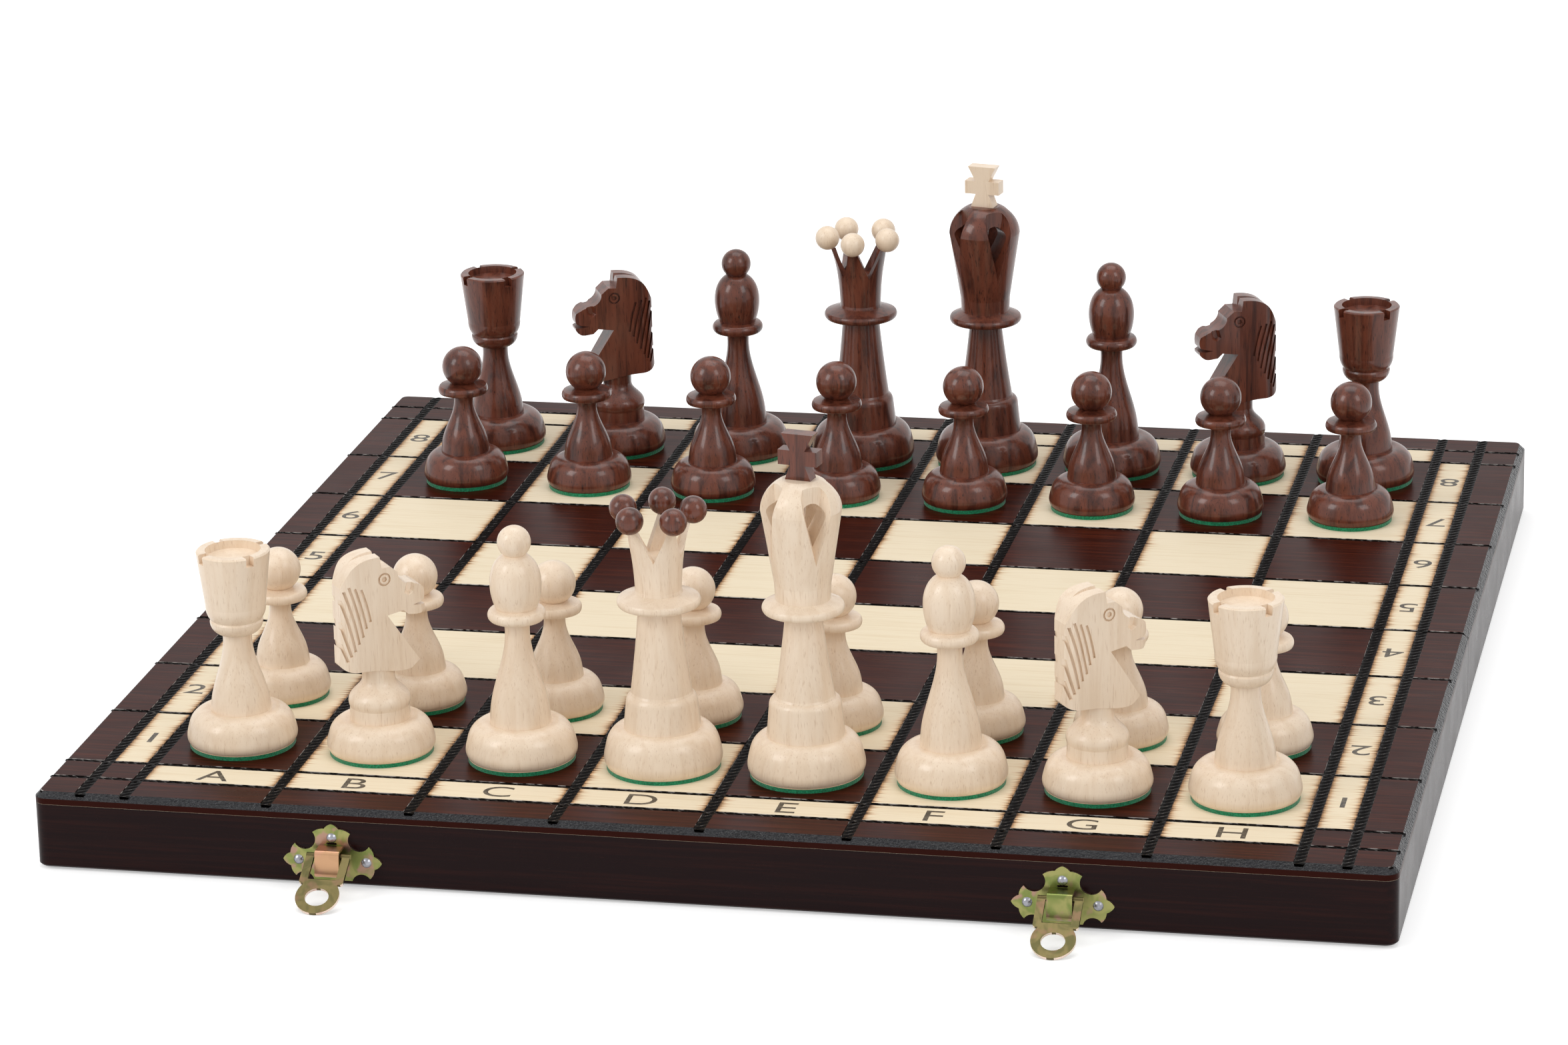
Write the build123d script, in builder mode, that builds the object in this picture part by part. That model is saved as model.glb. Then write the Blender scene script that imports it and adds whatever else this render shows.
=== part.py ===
"""Folding chess box with its thirty-two men.

Two equal half boxes lie open as a board, rims down, the playing surface on their outer faces.
Frame: origin on the hinge axis at mid length, in the plane of the rims.  +X runs along the fold
to the h file, +Y across the fold to the eighth rank, +Z up out of the playing surface.
Millimetres.  Every size that can be set by itself is one named value below.
"""

import os
from math import acos, cos, radians, sin, sqrt

from build123d import *

os.makedirs("parts", exist_ok=True)

# ---------------------------------------------------------------- board and walls
SQUARE = 38.0  # side of one square
SQUARES = 8
STRIP = 12.0  # strip for the letters and digits
BORDER = 12.7  # plain border outside the strip
PANEL = 3.2  # thickness of the board panel
DEPTH = 17.3  # height of the walls under the panel
WALL = 8.0  # thickness of every wall
FOLD_GAP = 0.15  # each half starts this far from the fold
CORNER_R = 3.5  # plan radius of the outer corners
TOP_BEVEL = 1.6  # bevel round the playing surface
RIM_BEVEL = 0.5  # bevel round the foot of the outer walls
FOLD_BEVEL = 0.7  # bevel of the panels along the fold
FILE_GROOVE = 3.0  # width of the grooves that run across the fold
FILE_GROOVE_DEPTH = 0.9
RANK_GROOVE = 1.7  # width of the grooves that run along the fold
RANK_GROOVE_DEPTH = 0.7

# ---------------------------------------------------------------- hinges in the rims
HINGE_X = 110.0  # distance of each hinge from mid length
HINGE_LENGTH = 25.0
KNUCKLE_R = 0.8
HINGE_PIN_R = 0.4
PIN_PLAY = 0.04  # radial clearance of the pin
KNUCKLE_END_GAP = 0.25  # gap between neighbouring knuckles
LEAF = 0.5  # thickness of a leaf
LEAF_WIDTH = 6.4  # from the hinge axis to the leaf's free edge
LEAF_SINK = 0.04  # the leaf lies this far above the rim plane
KNUCKLE_SPACE = 0.35  # clearance cut round the knuckles
LEAF_NAIL_R = 0.5
LEAF_NAIL_HEAD_R = 1.0
LEAF_NAIL_LENGTH = 7.0
LEAF_NAIL_X = 8.0  # distance of the outer nails from the hinge's middle

# ---------------------------------------------------------------- latches and catches
LATCH_X = 94.7  # half the distance between the two latches
LATCH_SHIFT = -1.6  # both latches are set this far to one side
LATCH_SHEET = 0.6  # thickness of the plates
PLATE_Z = 6.5  # height of the plate's side lobes above the rims
PLATE_FOOT = 5.2  # the plate reaches this far below its side lobes
LOBE_TIP_X = 13.1  # half width of a plate
LOBE_TIP_Z = 10.1  # height of a plate above its side lobes
PLATE_NAIL_X = 9.0
PLATE_NAIL_Z = 6.3
NAIL_R = 0.65
NAIL_HEAD_R = 1.35
NAIL_HEAD = 0.8  # height of the domed head
NAIL_LENGTH = 6.5  # depth of the shank in the wood
NAIL_PLAY = 0.05  # clearance of a shank in its hole
STRAP_WIDTH = 6.4
STRAP_TOP = 10.9  # top of the strap above the rims
STRAP_BOTTOM = 4.0  # foot of the strap above the rims
STRAP_OUT_TOP = 4.8  # how far the strap stands out at its top
STRAP_OUT_BOTTOM = 5.9  # and at its foot
STRAP_BEND_R = 1.0
PIVOT_Z = 9.1  # lever axis above the rims
PIVOT_OUT = 3.0  # lever axis in front of the plate
SLIT_LENGTH = 2.8  # slit above the strap
SLIT_HEIGHT = 0.6
LEVER = 0.8  # thickness of the lever
LEVER_LENGTH = 18.9  # from its axis to the ring's end
LEVER_BAR_R = 0.7
LEVER_ARM = 2.1  # width of an arm
LEVER_ARM_GAP = 0.5  # play between the strap and each arm
LEVER_WINDOW = 8.0  # the window ends this far from the axis
LEVER_SHOULDER = 9.4  # the shoulders end this far from the axis
LEVER_NECK = 9.0  # width below the shoulders
RING_R = 5.7
RING_HOLE_X = 3.1  # half width of the oval hole
RING_HOLE_Y = 2.8
RING_RIM = 2.4  # metal beyond the hole at the ring's end
LEVER_TIP_AIR = 0.05  # the tip ends this far above the table
KNOB_R = 2.4  # knob of a catch
KNOB_OUT = 4.6  # how far it stands out of its plate
KNOB_ROUND = 0.8

# ---------------------------------------------------------------- chessmen
FELT = 1.1  # thickness of the felt discs
FELT_OUT = 0.15  # the felt stands this far out from the foot's lower edge
FOOT_ROUND = 0.7  # how much a foot draws in at its lower edge

PAWN_BASE_R = 12.6
PAWN_BASE_H = 9.6
PAWN_STEM_R = 7.3
PAWN_NECK_R = 3.2
PAWN_COLLAR_R = 7.4
PAWN_COLLAR_Z = 27.6
PAWN_HEAD_R = 6.0

ROOK_BASE_R = 14.5
ROOK_BASE_H = 10.0
ROOK_STEM_R = 8.0
ROOK_NECK_R = 3.9
ROOK_RING_R = 7.0
ROOK_RING_Z = 31.0
ROOK_RING_H = 3.9
ROOK_CUP_R = 7.6
ROOK_RIM_R = 9.7
ROOK_H = 53.9
ROOK_RIM = 2.4  # thickness of the rim
ROOK_RECESS = 2.0  # depth of the cup's recess
ROOK_NOTCH = 2.2  # width of a notch
ROOK_NOTCH_DEPTH = 2.5
ROOK_NOTCHES = 4

KNIGHT_BASE_R = 14.2
KNIGHT_BASE_H = 9.6
KNIGHT_STEM_R = 8.0
KNIGHT_NECK_R = 4.3
KNIGHT_NECK_Z = 20.4
KNIGHT_HEAD_T = 9.2  # thickness of the carved head
KNIGHT_MUZZLE_T = 7.6
KNIGHT_MUZZLE_BEVEL = 1.5
KNIGHT_H = 54.8
KNIGHT_CARVING = 0.65  # depth of the mane's grooves and of the eyes
KNIGHT_CHEEK_CUT = 1.7

BISHOP_BASE_R = 14.6
BISHOP_BASE_H = 10.4
BISHOP_STEM_R = 8.1
BISHOP_NECK_R = 3.45
BISHOP_COLLAR_R = 7.6
BISHOP_COLLAR_Z = 38.3
BISHOP_COLLAR_H = 3.5
BISHOP_HEAD_R = 6.75
BISHOP_HEAD_H = 14.4
BISHOP_BALL_R = 4.4

QUEEN_BASE_R = 15.4
QUEEN_BASE_H = 11.4
QUEEN_DRUM_R = 10.1
QUEEN_DRUM_Z = 20.4
QUEEN_STEM_R = 8.0
QUEEN_NECK_R = 5.5
QUEEN_COLLAR_R = 10.9
QUEEN_COLLAR_Z = 43.0
QUEEN_COLLAR_H = 4.9
QUEEN_CORONET_R = 6.15
QUEEN_RIM_R = 8.7
QUEEN_RIM_Z = 66.2
QUEEN_POINTS = 5
QUEEN_NOTCH_Z = 57.4
QUEEN_RIM = 1.5  # thickness of the coronet's wall
QUEEN_TURN = 22.0  # direction of the first ball
QUEEN_BALL_R = 3.6
QUEEN_BALL_RING_R = 9.6
QUEEN_BALL_Z = 69.3

KING_BASE_R = 15.3
KING_BASE_H = 11.2
KING_DRUM_R = 10.2
KING_DRUM_Z = 21.4
KING_STEM_R = 7.7
KING_NECK_R = 4.8
KING_COLLAR_R = 10.7
KING_COLLAR_Z = 43.2
KING_COLLAR_H = 4.9
KING_CROWN_FOOT_R = 7.2
KING_CROWN_R = 10.5
KING_CROWN_TOP_Z = 80.2
KING_RIBS = 4
KING_TURN = 37.0  # direction of the first window
KING_WINDOW_R = 2.9
KING_WINDOW_TOP = 75.1
KING_WINDOW_FOOT = 63.6
KING_FLUTE_FOOT = 57.6
KING_FLUTE_IN = 6.2  # the flutes end this far from the axis
KING_CROSS_H = 12.2
KING_CROSS_FOOT = 7.0
KING_CROSS_ARM = 10.6  # width over the arms
KING_CROSS_TOP = 8.6
KING_CROSS_T = 4.0
KING_CROSS_TURN = -10.0

# how the men are turned on their squares
LIGHT_KNIGHT_TURN = 38.0
DARK_KNIGHT_TURN = 206.0
DARK_QUEEN_TURN = 31.0  # from the light queen

# ---------------------------------------------------------------- worked-out places
FIELD = SQUARES * SQUARE
LENGTH = FIELD + 2 * (STRIP + BORDER)
HALF = LENGTH / 2  # from the fold, or from mid length, to an outer face
TOP = DEPTH + PANEL  # height of the playing surface
TABLE = -KNUCKLE_R  # the open box stands on its hinge knuckles
LINES = [SQUARE * (i - SQUARES / 2) for i in range(SQUARES + 1)]
OUTER_LINE = FIELD / 2 + STRIP
FILE_LINES = [-OUTER_LINE, *LINES, OUTER_LINE]
RANK_LINES = [y for y in LINES if y > 0] + [OUTER_LINE]

PIVOT_Y = -HALF - LATCH_SHEET - PIVOT_OUT
LEVER_TILT = acos((PIVOT_Z - TABLE - LEVER_TIP_AIR - LEVER / 2) / LEVER_LENGTH)
HOLE_FROM_PIVOT = LEVER_LENGTH - RING_RIM - RING_HOLE_Y
KNOB_Z = HOLE_FROM_PIVOT - PIVOT_Z


def save(part, name):
    part.label = name
    export_step(part, f"parts/{name}.step")


def save_both(part, name):
    """A piece of the far half and its mirror image in the near half."""
    save(part, f"far_{name}")
    save(mirror(part, about=Plane.XZ), f"near_{name}")


# ================================================================ wooden half boxes
with BuildPart() as panel:
    with BuildSketch(Plane.XY.offset(DEPTH)):
        with Locations((0, FOLD_GAP)):
            Rectangle(LENGTH, HALF - FOLD_GAP, align=(Align.CENTER, Align.MIN))
        fillet(vertices().sort_by(Axis.Y)[-2:], CORNER_R)
    extrude(amount=PANEL)
    rim_edges = panel.faces().sort_by(Axis.Z)[-1].edges().sort_by(Axis.Y)
    chamfer(rim_edges[1:], TOP_BEVEL)
    chamfer(panel.faces().sort_by(Axis.Z)[-1].edges().sort_by(Axis.Y)[0], FOLD_BEVEL)
    with BuildSketch(Plane.XY.offset(TOP)):
        for x in FILE_LINES:
            with Locations((x, HALF / 2)):
                Rectangle(FILE_GROOVE, LENGTH)
    extrude(amount=-FILE_GROOVE_DEPTH, taper=25, mode=Mode.SUBTRACT)
    with BuildSketch(Plane.XY.offset(TOP)):
        for y in RANK_LINES:
            with Locations((0, y)):
                Rectangle(LENGTH + BORDER, RANK_GROOVE)
    extrude(amount=-RANK_GROOVE_DEPTH, taper=25, mode=Mode.SUBTRACT)
save_both(panel.part, "board_panel")

NAIL_PLACES = [(-PLATE_NAIL_X, PLATE_Z), (PLATE_NAIL_X, PLATE_Z), (0, PLATE_Z + PLATE_NAIL_Z)]
LATCHES = ((LATCH_SHIFT - LATCH_X, "left"), (LATCH_SHIFT + LATCH_X, "right"))
PLATE_NAILS = [(latch_x + x, z) for latch_x, _ in LATCHES for x, z in NAIL_PLACES]
NEAR_FACE = Plane.XZ.offset(HALF)  # outer face of the near wall, its normal towards -Y

with BuildPart() as outer_wall:
    with BuildSketch():
        with Locations((0, HALF)):
            Rectangle(LENGTH, WALL, align=(Align.CENTER, Align.MAX))
        fillet(vertices().sort_by(Axis.Y)[-2:], CORNER_R)
    extrude(amount=DEPTH)
    chamfer(outer_wall.faces().sort_by(Axis.Z)[0].edges().sort_by(Axis.Y)[1:], RIM_BEVEL)
    with BuildSketch(Plane.XZ.offset(-HALF)):
        with Locations(*PLATE_NAILS):
            Circle(NAIL_R + NAIL_PLAY)
    extrude(amount=NAIL_LENGTH + NAIL_PLAY, mode=Mode.SUBTRACT)
save_both(outer_wall.part, "outer_wall")

for side, name in ((-1, "left_wall"), (1, "right_wall")):
    with BuildPart() as side_wall:
        with Locations((side * (HALF - WALL / 2), FOLD_GAP, 0)):
            Box(WALL, HALF - WALL - FOLD_GAP, DEPTH, align=(Align.CENTER, Align.MIN, Align.MIN))
        foot = side_wall.faces().sort_by(Axis.Z)[0].edges().filter_by(Axis.Y)
        chamfer(foot.sort_by(Axis.X)[-1 if side > 0 else 0], RIM_BEVEL)
    save_both(side_wall.part, name)

HINGES = ((-1, "left"), (1, "right"))
NAIL_ROW = (LEAF_WIDTH + KNUCKLE_R) / 2 + FOLD_GAP
LEAF_NAILS = [(side * HINGE_X + x, NAIL_ROW) for side, _ in HINGES for x in (-LEAF_NAIL_X, 0, LEAF_NAIL_X)]

with BuildPart() as hinge_wall:
    with Locations((0, FOLD_GAP, 0)):
        Box(LENGTH - 2 * WALL, WALL, DEPTH, align=(Align.CENTER, Align.MIN, Align.MIN))
    with Locations(*[(side * HINGE_X, 0, 0) for side, _ in HINGES]):
        Box(
            HINGE_LENGTH + 2 * KNUCKLE_SPACE,
            2 * (LEAF_WIDTH + LEAF_SINK),
            2 * (LEAF + LEAF_SINK),
            mode=Mode.SUBTRACT,
        )
        Cylinder(
            KNUCKLE_R + KNUCKLE_SPACE,
            HINGE_LENGTH + 2 * KNUCKLE_SPACE,
            rotation=(0, 90, 0),
            mode=Mode.SUBTRACT,
        )
    with BuildSketch():
        with Locations(*LEAF_NAILS):
            Circle(LEAF_NAIL_R + NAIL_PLAY)
    extrude(amount=LEAF_NAIL_LENGTH + NAIL_PLAY, mode=Mode.SUBTRACT)
save_both(hinge_wall.part, "hinge_wall")

# ================================================================ hinges
KNUCKLE = HINGE_LENGTH / 3


def leaf(x, far):
    """A leaf with its knuckles: the far one has the middle knuckle, the near one the outer two."""
    middle = KNUCKLE - KNUCKLE_END_GAP
    outer_mid = KNUCKLE + KNUCKLE_END_GAP / 4
    outer = KNUCKLE - KNUCKLE_END_GAP / 2
    knuckles = [(0, middle)] if far else [(-outer_mid, outer), (outer_mid, outer)]
    way = 1 if far else -1
    start = KNUCKLE_R + KNUCKLE_SPACE
    with BuildPart() as body:
        with Locations((x, way * start, LEAF_SINK)):
            edge = Align.MIN if far else Align.MAX
            Box(HINGE_LENGTH, LEAF_WIDTH - start, LEAF, align=(Align.CENTER, edge, Align.MIN))
        for offset_x, width in knuckles:
            with Locations((x + offset_x, 0, LEAF_SINK)):
                Box(width, start, LEAF, align=(Align.CENTER, edge, Align.MIN))
            with Locations((x + offset_x, 0, 0)):
                Cylinder(KNUCKLE_R, width, rotation=(0, 90, 0))
        with Locations((x, 0, 0)):
            Cylinder(HINGE_PIN_R + PIN_PLAY, 2 * HINGE_LENGTH, rotation=(0, 90, 0), mode=Mode.SUBTRACT)
        for nail_x in (-LEAF_NAIL_X, 0, LEAF_NAIL_X):
            with Locations(Location((x + nail_x, way * NAIL_ROW, LEAF_SINK), (180, 0, 0))):
                CounterSinkHole(
                    LEAF_NAIL_R + NAIL_PLAY,
                    LEAF_NAIL_HEAD_R + NAIL_PLAY,
                    depth=LEAF,
                    counter_sink_angle=90,
                )
    return body.part


with BuildPart() as leaf_nail:
    with BuildSketch(Plane.XZ):
        with BuildLine():
            Polyline(
                (0, LEAF_SINK),
                (LEAF_NAIL_HEAD_R, LEAF_SINK),
                (LEAF_NAIL_R, LEAF_SINK + LEAF_NAIL_HEAD_R - LEAF_NAIL_R),
                (LEAF_NAIL_R, LEAF_NAIL_LENGTH - LEAF_NAIL_R),
                (0, LEAF_NAIL_LENGTH),
                close=True,
            )
        make_face()
    revolve(axis=Axis.Z)

for side, name in HINGES:
    save(leaf(side * HINGE_X, True), f"{name}_hinge_far_leaf")
    save(leaf(side * HINGE_X, False), f"{name}_hinge_near_leaf")
    with BuildPart() as hinge_pin:
        with Locations((side * HINGE_X, 0, 0)):
            Cylinder(HINGE_PIN_R, HINGE_LENGTH, rotation=(0, 90, 0))
    save(hinge_pin.part, f"{name}_hinge_pin")

with BuildPart() as far_leaf_nails:
    with Locations(*LEAF_NAILS):
        add(leaf_nail.part)
save_both(far_leaf_nails.part, "leaf_nails")


# ================================================================ latches and catches
PLATE_EDGE = [  # right half of a plate's edge, from the upper lobe's tip to the foot
    [(0, LOBE_TIP_Z), (1.1, LOBE_TIP_Z - 0.5), (1.9, LOBE_TIP_Z - 1.3)],
    [(1.9, LOBE_TIP_Z - 1.3), (3.6, LOBE_TIP_Z - 1.6), (5.0, LOBE_TIP_Z - 2.4)],
    [(5.0, LOBE_TIP_Z - 2.4), (5.3, 3.7), (9.8, 4.4)],
    [(9.8, 4.4), (10.8, 3.1), (11.1, 1.8)],
    [(11.1, 1.8), (12.3, 1.1), (LOBE_TIP_X, 0)],
    [(LOBE_TIP_X, 0), (12.3, -1.1), (11.1, -1.8)],
    [(11.1, -1.8), (10.8, -3.1), (9.8, -4.4)],
    [(9.8, -4.4), (7.2, -3.3), (5.1, -PLATE_FOOT)],
]


def plate_blank(x):
    """Trefoil plate against the near wall: three cusped lobes and a square foot at the rim."""
    with BuildPart() as blank:
        with BuildSketch(NEAR_FACE):
            with Locations((x, PLATE_Z)):
                with BuildSketch(mode=Mode.PRIVATE) as half:
                    with BuildLine():
                        Line((0, -PLATE_FOOT), PLATE_EDGE[0][0])
                        for stretch in PLATE_EDGE:
                            ThreePointArc(*stretch)
                        Line(PLATE_EDGE[-1][-1], (0, -PLATE_FOOT))
                    make_face()
                    mirror(about=Plane.YZ)
                add(half.sketch)
            with Locations(*[(x + nail_x, z) for nail_x, z in NAIL_PLACES]):
                Circle(NAIL_R + NAIL_PLAY, mode=Mode.SUBTRACT)
        extrude(amount=LATCH_SHEET)
    return blank.part


def out(distance):
    """Y of a point this far in front of a near plate."""
    return -HALF - LATCH_SHEET - distance


def latch_plate(x):
    """Plate with the strap that holds the lever's bar, and a short slit above the strap."""
    face = Plane.YZ.offset(x - STRAP_WIDTH / 2)
    with BuildPart() as plate:
        add(plate_blank(x))
        with BuildSketch(face):
            with BuildLine():
                FilletPolyline(
                    (-HALF, STRAP_BOTTOM),
                    (out(STRAP_OUT_BOTTOM), STRAP_BOTTOM),
                    (out(STRAP_OUT_TOP), STRAP_TOP),
                    (-HALF, STRAP_TOP),
                    radius=STRAP_BEND_R,
                )
                Line((-HALF, STRAP_TOP), (-HALF, STRAP_BOTTOM))
            make_face()
        extrude(amount=STRAP_WIDTH)
        with BuildSketch(face):
            with BuildLine():
                FilletPolyline(
                    (out(0), STRAP_BOTTOM + LATCH_SHEET),
                    (out(STRAP_OUT_BOTTOM - LATCH_SHEET), STRAP_BOTTOM + LATCH_SHEET),
                    (out(STRAP_OUT_TOP - LATCH_SHEET), STRAP_TOP - LATCH_SHEET),
                    (out(0), STRAP_TOP - LATCH_SHEET),
                    radius=STRAP_BEND_R - LATCH_SHEET,
                )
                Line((out(0), STRAP_TOP - LATCH_SHEET), (out(0), STRAP_BOTTOM + LATCH_SHEET))
            make_face()
        extrude(amount=STRAP_WIDTH, mode=Mode.SUBTRACT)
        with BuildSketch(NEAR_FACE):
            with Locations((x, STRAP_TOP + 0.6 * SLIT_HEIGHT)):
                SlotOverall(SLIT_LENGTH, SLIT_HEIGHT)
        extrude(amount=LATCH_SHEET, mode=Mode.SUBTRACT)
    return plate.part


def latch_lever(x):
    """Lever as it hangs open, its ring's end just above the table."""
    tilt_y, tilt_z = sin(LEVER_TILT), cos(LEVER_TILT)
    sheet = Plane(origin=(x, PIVOT_Y, PIVOT_Z), x_dir=(1, 0, 0), z_dir=(0, tilt_z, -tilt_y))
    inner = STRAP_WIDTH / 2 + LEVER_ARM_GAP
    width = 2 * (inner + LEVER_ARM)
    ring_centre = LEVER_LENGTH - RING_R
    with BuildPart() as lever:
        with BuildSketch(sheet):
            Rectangle(width, LEVER_SHOULDER, align=(Align.CENTER, Align.MIN))
            fillet(vertices().sort_by(Axis.Y)[-2:], LEVER_BAR_R)
            with Locations((0, LEVER_SHOULDER)):
                Rectangle(LEVER_NECK, ring_centre - LEVER_SHOULDER, align=(Align.CENTER, Align.MIN))
            with Locations((0, ring_centre)):
                Circle(RING_R)
            with Locations((0, LEVER_BAR_R)):
                Rectangle(
                    2 * inner,
                    LEVER_WINDOW - LEVER_BAR_R,
                    align=(Align.CENTER, Align.MIN),
                    mode=Mode.SUBTRACT,
                )
            with Locations((0, HOLE_FROM_PIVOT)):
                Ellipse(RING_HOLE_X, RING_HOLE_Y, mode=Mode.SUBTRACT)
        extrude(amount=LEVER / 2, both=True)
        with Locations((x, PIVOT_Y, PIVOT_Z)):
            Cylinder(LEVER_BAR_R, width, rotation=(0, 90, 0))
    return lever.part


def catch_plate(x):
    """Plate on the far wall with the knob that the ring drops over, made at the near wall."""
    with BuildPart() as plate:
        add(plate_blank(x))
        with BuildSketch(NEAR_FACE.offset(LATCH_SHEET)):
            with Locations((x, KNOB_Z)):
                Circle(KNOB_R)
        extrude(amount=KNOB_OUT)
        fillet(plate.faces().sort_by(Axis.Y)[0].edges(), KNOB_ROUND)
    return plate.part


with BuildPart() as nail:
    with BuildSketch(Plane.XY):
        with BuildLine():
            head_y = -HALF - LATCH_SHEET
            Polyline(
                (0, head_y - NAIL_HEAD),
                (0, -HALF + NAIL_LENGTH),
                (NAIL_R, -HALF + NAIL_LENGTH - NAIL_R),
                (NAIL_R, head_y),
                (NAIL_HEAD_R, head_y),
            )
            TangentArc((0, head_y - NAIL_HEAD), (NAIL_HEAD_R, head_y), tangent=(1, 0))
        make_face()
    revolve(axis=Axis.Y)

with BuildPart() as latch_nails:
    with Locations(*[(x, 0, z) for x, z in PLATE_NAILS]):
        add(nail.part)
save(latch_nails.part, "latch_nails")
save(mirror(latch_nails.part, about=Plane.XZ), "catch_nails")

for x, name in LATCHES:
    save(latch_plate(x), f"{name}_latch_plate")
    save(latch_lever(x), f"{name}_latch_lever")
    save(mirror(catch_plate(x), about=Plane.XZ), f"{name}_catch_plate")


# ================================================================ chessmen
def turn(*outline):
    """Turn a solid on the lathe.  Each stretch of the outline is a list of (radius, height)
    points: two make a straight line, three a circular arc and more a smooth curve."""
    with BuildPart() as turned:
        with BuildSketch(Plane.XZ):
            with BuildLine():
                for stretch in outline:
                    if len(stretch) == 2:
                        Line(*stretch)
                    elif len(stretch) == 3:
                        ThreePointArc(*stretch)
                    else:
                        Spline(*stretch)
                foot, head = outline[0][0], outline[-1][-1]
                if head[0] > 0:
                    Line(head, (0, head[1]))
                Polyline((0, head[1]), (0, foot[1]), foot)
            make_face()
        revolve(axis=Axis.Z)
    return turned.part


def felt(base_r):
    with BuildPart() as disc:
        with BuildSketch():
            Circle(base_r - FOOT_ROUND + FELT_OUT)
        extrude(amount=FELT)
    return disc.part


def dome(base_r, base_h, stem_r):
    """Outline of a foot that rises in one swelling curve to the stem."""
    rise = base_h - FELT
    curve = [
        (base_r - FOOT_ROUND, FELT),
        (base_r, FELT + 0.15 * rise),
        (base_r - 0.35, FELT + 0.45 * rise),
        (base_r - 1.15, FELT + 0.72 * rise),
        (base_r - 2.5, FELT + 0.90 * rise),
        (stem_r + 0.45, base_h),
    ]
    return [curve, [curve[-1], (stem_r, base_h)]]


def bell(stem_r, base_h, neck_r, neck_z, fullness=0.30):
    """Outline of a stem: a short band, then one hollow curve up to the neck."""
    band = (stem_r - 0.35, base_h + 0.13 * (neck_z - base_h))
    waist = (
        neck_r + fullness * (band[0] - neck_r),
        band[1] + 0.52 * (neck_z - band[1]),
    )
    shoulder = (
        band[0] - 0.24 * (band[0] - neck_r),
        band[1] + 0.22 * (neck_z - band[1]),
    )
    return [[(stem_r, base_h), band], [band, shoulder, waist, (neck_r, neck_z)]]


def tier(base_h, drum_r, drum_z, stem_r, neck_r, neck_z):
    """Outline of the drum on a royal foot and the tapering stem above it."""
    edge = (drum_r - 0.8, drum_z - 1.9)
    middle = ((stem_r + neck_r) / 2 - 0.1, (drum_z + neck_z) / 2)
    return [
        [(drum_r, base_h), edge],
        [edge, (drum_r - 1.1, drum_z - 0.9), (stem_r + 0.3, drum_z)],
        [(stem_r + 0.3, drum_z), (stem_r, drum_z + 0.6)],
        [(stem_r, drum_z + 0.6), middle, (neck_r, neck_z)],
    ]


def collar(neck_r, collar_r, z, height, seat_r):
    """Outline of a flat collar: hollow underneath, a narrow upright edge, a sloping top."""
    low = z + 0.30 * height
    high = z + 0.72 * height
    return [
        [(neck_r, z), (neck_r + 0.9, z + 0.12 * height)],
        [(neck_r + 0.9, z + 0.12 * height), (collar_r - 0.5, low)],
        [(collar_r - 0.5, low), (collar_r, (low + high) / 2), (collar_r - 0.4, high)],
        [(collar_r - 0.4, high), (seat_r, z + height)],
    ]


def pawn():
    top_z = PAWN_COLLAR_Z + 3.0
    seat = 3.4
    centre = top_z + sqrt(PAWN_HEAD_R**2 - seat**2)
    wood = turn(
        *dome(PAWN_BASE_R, PAWN_BASE_H, PAWN_STEM_R),
        *bell(PAWN_STEM_R, PAWN_BASE_H, PAWN_NECK_R, PAWN_COLLAR_Z, 0.22),
        [(PAWN_NECK_R, PAWN_COLLAR_Z), (PAWN_COLLAR_R - 0.3, PAWN_COLLAR_Z)],
        [(PAWN_COLLAR_R - 0.3, PAWN_COLLAR_Z), (PAWN_COLLAR_R, PAWN_COLLAR_Z + 1.3), (PAWN_COLLAR_R - 0.5, top_z - 0.7)],
        [(PAWN_COLLAR_R - 0.5, top_z - 0.7), (seat, top_z)],
        [(seat, top_z), (PAWN_HEAD_R, centre), (0, centre + PAWN_HEAD_R)],
    )
    return [wood, felt(PAWN_BASE_R)]


def rook():
    ring_top = ROOK_RING_Z + ROOK_RING_H
    wood = turn(
        *dome(ROOK_BASE_R, ROOK_BASE_H, ROOK_STEM_R),
        *bell(ROOK_STEM_R, ROOK_BASE_H, ROOK_NECK_R, ROOK_RING_Z, 0.30),
        [(ROOK_NECK_R, ROOK_RING_Z), (ROOK_NECK_R + 0.7, ROOK_RING_Z)],
        [
            (ROOK_NECK_R + 0.7, ROOK_RING_Z),
            (ROOK_RING_R - 0.6, ROOK_RING_Z + 0.36 * ROOK_RING_H),
            (ROOK_RING_R, ring_top - 0.5),
        ],
        [(ROOK_RING_R, ring_top - 0.5), (ROOK_RING_R - 0.3, ring_top)],
        [(ROOK_RING_R - 0.3, ring_top), (ROOK_CUP_R, ring_top + 1.6), (ROOK_CUP_R + 0.35, ring_top + 4.0)],
        [(ROOK_CUP_R + 0.35, ring_top + 4.0), (ROOK_RIM_R, ROOK_H - 0.4)],
        [(ROOK_RIM_R, ROOK_H - 0.4), (ROOK_RIM_R - 0.4, ROOK_H)],
        [(ROOK_RIM_R - 0.4, ROOK_H), (ROOK_RIM_R - ROOK_RIM, ROOK_H)],
        [(ROOK_RIM_R - ROOK_RIM, ROOK_H), (ROOK_RIM_R - ROOK_RIM - 0.3, ROOK_H - ROOK_RECESS)],
        [(ROOK_RIM_R - ROOK_RIM - 0.3, ROOK_H - ROOK_RECESS), (0, ROOK_H - ROOK_RECESS - 0.5)],
    )
    with BuildPart() as notched:
        add(wood)
        with BuildSketch(Plane.XY.offset(ROOK_H)):
            with PolarLocations(ROOK_RIM_R, ROOK_NOTCHES, start_angle=45):
                Rectangle(2 * ROOK_RIM, ROOK_NOTCH)
        extrude(amount=-ROOK_NOTCH_DEPTH, mode=Mode.SUBTRACT)
    return [notched.part, felt(ROOK_BASE_R)]


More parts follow.
